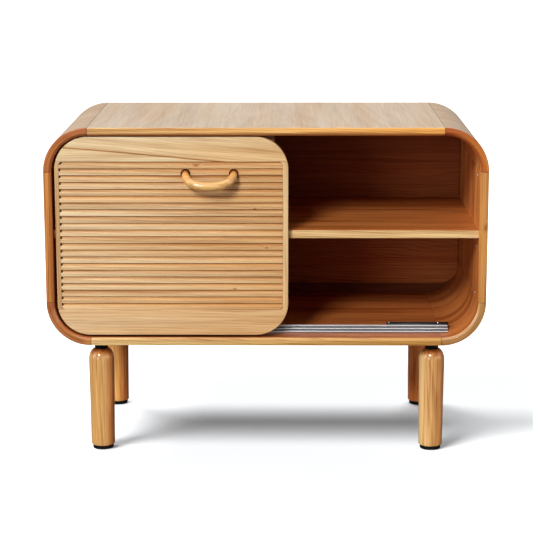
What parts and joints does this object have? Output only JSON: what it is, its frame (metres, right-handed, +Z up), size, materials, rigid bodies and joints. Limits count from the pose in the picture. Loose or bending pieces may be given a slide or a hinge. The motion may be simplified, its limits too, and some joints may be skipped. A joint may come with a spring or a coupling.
{
  "type": "bedside table",
  "caption": "Low wooden bedside table with rounded corners, a slatted door that slides sideways in front of an open shelf, and turned legs.",
  "frame": {"origin": "on the floor under the middle of the whole part, handle included", "axes": "+X along the width to the viewer's right, -Y out of the open front, +Z up"},
  "size_m": [0.72, 0.3926, 0.548],
  "materials": {
    "case_wood": "warm brown boards, satin lacquer",
    "corner_wood": "redder brown corner blocks, satin lacquer",
    "inner_wood": "brown boards inside the case, satin",
    "leg_wood": "turned wood, satin lacquer",
    "door_wood": "pale blond wood, satin",
    "handle_wood": "polished bent wood",
    "black_metal": "satin black",
    "black_rubber": "matt black",
    "black_plastic": "matt black",
    "aluminium": "brushed along its length",
    "nickel": "nickel plated",
    "steel": "zinc plated",
    "nylon": "natural nylon",
    "dark_bronze": "dark bronze, satin"
  },
  "bodies": {
    "case": {"top_panel": "case_wood", "bottom_panel": "case_wood", "left_panel": "case_wood", "right_panel": "case_wood", "corner_top_left": "corner_wood", "corner_top_right": "corner_wood", "corner_bottom_left": "corner_wood", "corner_bottom_right": "corner_wood", "back_panel": "inner_wood", "corner_splines": "inner_wood", "shelf": "inner_wood", "wall_studs": "nickel", "leg_front_left": "leg_wood", "leg_front_right": "leg_wood", "leg_back_left": "leg_wood", "leg_back_right": "leg_wood", "leg_collars": "black_metal", "leg_studs": "steel", "foot_pads": "black_rubber", "floor_track": "aluminium", "left_stop": "black_plastic", "guide_block": "nylon", "damper_housing": "black_plastic", "case_screws": "nickel"},
    "door": {"door_top_rail": "door_wood", "door_bottom_rail": "door_wood", "door_left_stile": "door_wood", "door_right_stile": "door_wood", "door_backing": "inner_wood", "handle": "handle_wood", "handle_ferrules": "dark_bronze", "guide_rail": "aluminium", "carriages": "black_plastic", "roller_pins": "steel", "door_screws": "nickel", "slat_01": "door_wood", "slat_02": "door_wood", "slat_03": "door_wood", "slat_04": "door_wood", "slat_05": "door_wood", "slat_06": "door_wood", "slat_07": "door_wood", "slat_08": "door_wood", "slat_09": "door_wood", "slat_10": "door_wood", "slat_11": "door_wood", "slat_12": "door_wood", "slat_13": "door_wood", "slat_14": "door_wood", "slat_15": "door_wood", "slat_16": "door_wood", "slat_17": "door_wood", "slat_18": "door_wood", "slat_19": "door_wood", "slat_20": "door_wood", "slat_21": "door_wood", "slat_22": "door_wood"},
    "roller_left": {"roller_left": "nylon"},
    "roller_right": {"roller_right": "nylon"},
    "damper_catch": {"damper_catch": "black_plastic"}
  },
  "joints": [
    {"name": "door_slide", "type": "slide", "parent": "case", "child": "door", "axis": [1, 0, 0], "range_m": [0, 0.3074]},
    {"name": "roller_left_turn", "type": "hinge", "parent": "door", "child": "roller_left", "pos_m": [-0.2647, -0.1212, 0.21315], "axis": [0, 1, 0], "continuous": true},
    {"name": "roller_right_turn", "type": "hinge", "parent": "door", "child": "roller_right", "pos_m": [-0.0427, -0.1212, 0.21315], "axis": [0, 1, 0], "continuous": true},
    {"name": "catch_slide", "type": "slide", "parent": "case", "child": "damper_catch", "axis": [1, 0, 0], "range_m": [0, 0.04]}
  ],
  "couplings": [
    {"joint": "roller_left_turn", "follows": "door_slide", "rad_per_m": 200},
    {"joint": "roller_right_turn", "follows": "door_slide", "rad_per_m": 200}
  ]
}
